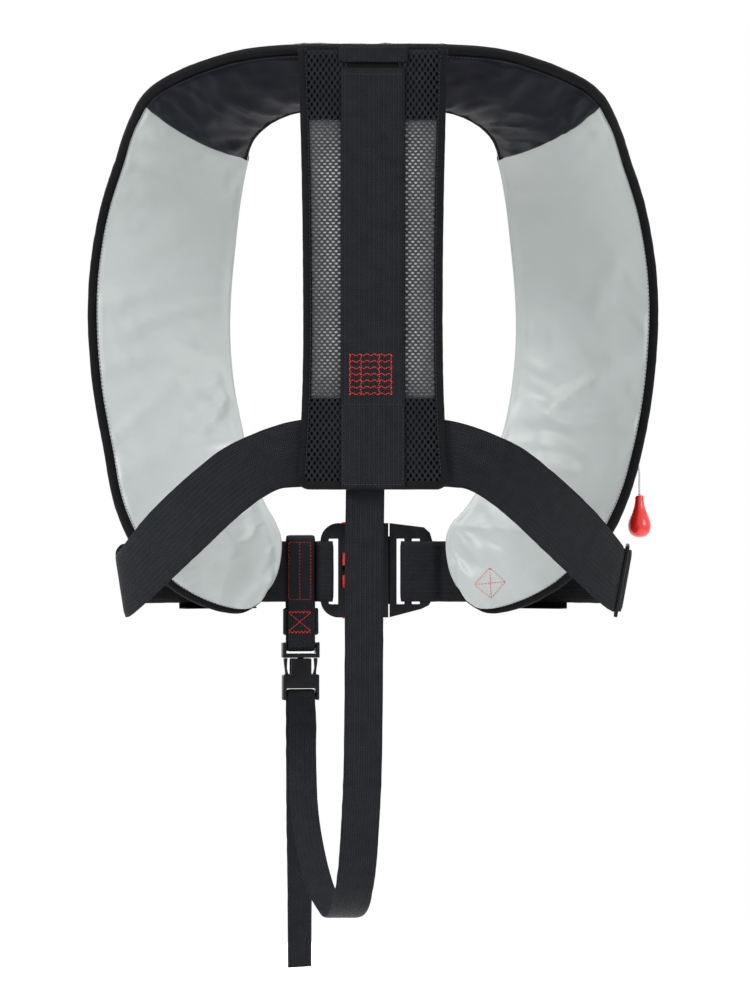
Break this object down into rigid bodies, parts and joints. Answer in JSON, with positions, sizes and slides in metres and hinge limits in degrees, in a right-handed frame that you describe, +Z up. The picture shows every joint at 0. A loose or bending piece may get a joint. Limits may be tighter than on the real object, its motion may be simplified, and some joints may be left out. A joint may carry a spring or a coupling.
{
  "type": "inflatable life jacket",
  "caption": "Horseshoe inflatable life jacket on a back harness, with a waist belt, front buckle, crotch strap and manual pull toggle.",
  "frame": {"origin": "middle of the neck opening, level with the collar's inner edge", "axes": "+X towards the wearer's right side, +Y the way the wearer faces, +Z up"},
  "size_m": [0.4676, 0.2951, 0.7433],
  "materials": {
    "cover_fabric": "matt woven polyamide",
    "collar_lining_fabric": "soft navy satin weave",
    "coated_lining": "polyurethane-coated grey, satin",
    "binding_tape": "ribbed tape",
    "bladder_fabric": "coated, satin",
    "grey_mesh": "open spacer mesh",
    "black_mesh": "padded spacer mesh",
    "webbing": "woven polyester webbing",
    "black_plastic": "moulded acetal",
    "red_plastic": "moulded",
    "steel": "zinc plated",
    "yellow_plastic": "moulded",
    "black_rubber": "matt",
    "cord": "twisted polyester"
  },
  "bodies": {
    "jacket": {"collar_cover": "cover_fabric", "lobe_cover_left": "cover_fabric", "lobe_cover_right": "cover_fabric", "collar_lining": "collar_lining_fabric", "lobe_lining_left": "coated_lining", "lobe_lining_right": "coated_lining", "edge_binding": "binding_tape", "closure_loop_tape": "binding_tape", "closure_hook_tape": "binding_tape", "bladder": "bladder_fabric", "back_base_panel": "binding_tape", "back_mesh": "grey_mesh", "back_pad_upper": "black_mesh", "back_pad_lower": "black_mesh", "back_binding": "binding_tape", "back_strap": "webbing", "collar_keeper": "webbing", "waist_belt": "webbing", "belt_adjuster": "black_plastic", "belt_keeper_left": "cover_fabric", "belt_keeper_right": "cover_fabric", "buckle_housing_rear": "black_plastic", "buckle_housing_front": "black_plastic", "crotch_belt_loop": "webbing", "strap_ring": "black_plastic", "crotch_strap_back": "webbing", "crotch_buckle_insert": "black_plastic", "inflator_body": "black_plastic", "inflator_cartridge_cap": "yellow_plastic", "inflator_manifold": "black_plastic", "manifold_nut": "steel", "lever_pin": "steel", "cord_eyelet": "black_plastic", "oral_manifold": "black_plastic", "oral_tube": "black_rubber", "whistle_clip": "black_plastic", "whistle": "yellow_plastic"},
    "buckle_tongue": {"buckle_tongue": "black_plastic", "tongue_webbing": "webbing"},
    "buckle_button_upper": {"buckle_button_upper": "red_plastic"},
    "buckle_button_lower": {"buckle_button_lower": "red_plastic"},
    "crotch_socket": {"crotch_buckle_socket": "black_plastic", "crotch_strap_front": "webbing"},
    "crotch_prong_left": {"crotch_prong_left": "black_plastic"},
    "crotch_prong_right": {"crotch_prong_right": "black_plastic"},
    "pull_toggle": {"pull_toggle": "red_plastic", "pull_cord": "cord"},
    "inflator_lever": {"inflator_lever": "red_plastic"},
    "co2_cylinder": {"co2_cylinder": "steel"},
    "oral_cap": {"oral_cap": "red_plastic"},
    "oral_valve": {"oral_valve": "red_plastic"}
  },
  "joints": [
    {"name": "buckle_release", "type": "hinge", "parent": "jacket", "child": "buckle_tongue", "pos_m": [0, -0.15, -0.37], "axis": [0, 0, -1], "range_deg": [0, 6.3]},
    {"name": "upper_button_press", "type": "slide", "parent": "jacket", "child": "buckle_button_upper", "axis": [0, 0, -1], "range_m": [0, 0.003], "stiffness_N_per_m": 600},
    {"name": "lower_button_press", "type": "slide", "parent": "jacket", "child": "buckle_button_lower", "axis": [0, 0, 1], "range_m": [0, 0.003], "stiffness_N_per_m": 600},
    {"name": "crotch_release", "type": "slide", "parent": "jacket", "child": "crotch_socket", "axis": [0, 0, -1], "range_m": [0, 0.03]},
    {"name": "left_prong_squeeze", "type": "hinge", "parent": "jacket", "child": "crotch_prong_left", "pos_m": [-0.07225, 0.12691, -0.443], "axis": [0.2096, -0.9778, 0], "range_deg": [0, 7], "stiffness_Nm_per_rad": 0.4},
    {"name": "right_prong_squeeze", "type": "hinge", "parent": "jacket", "child": "crotch_prong_right", "pos_m": [-0.04761, 0.13219, -0.443], "axis": [-0.2096, 0.9778, 0], "range_deg": [0, 7], "stiffness_Nm_per_rad": 0.4},
    {"name": "toggle_pull", "type": "slide", "parent": "jacket", "child": "pull_toggle", "axis": [0, 0, -1], "range_m": [0, 0.045], "deforming": ["pull_cord"]},
    {"name": "lever_pivot", "type": "hinge", "parent": "jacket", "child": "inflator_lever", "pos_m": [0.187, 0.11794, -0.247], "axis": [0.309, 0.9511, 0], "range_deg": [0, 80.5]},
    {"name": "cylinder_unscrew", "type": "hinge", "parent": "jacket", "child": "co2_cylinder", "pos_m": [0.16893, 0.12381, -0.22], "axis": [0, 0, 1], "range_deg": [0, 360]},
    {"name": "oral_cap_lift", "type": "slide", "parent": "jacket", "child": "oral_cap", "axis": [0, 0, 1], "range_m": [0, 0.012]},
    {"name": "oral_valve_press", "type": "slide", "parent": "jacket", "child": "oral_valve", "axis": [0, 0, -1], "range_m": [0, 0.003], "stiffness_N_per_m": 150}
  ],
  "couplings": [
    {"joint": "lever_pivot", "follows": "toggle_pull", "rad_per_m": 31}
  ]
}
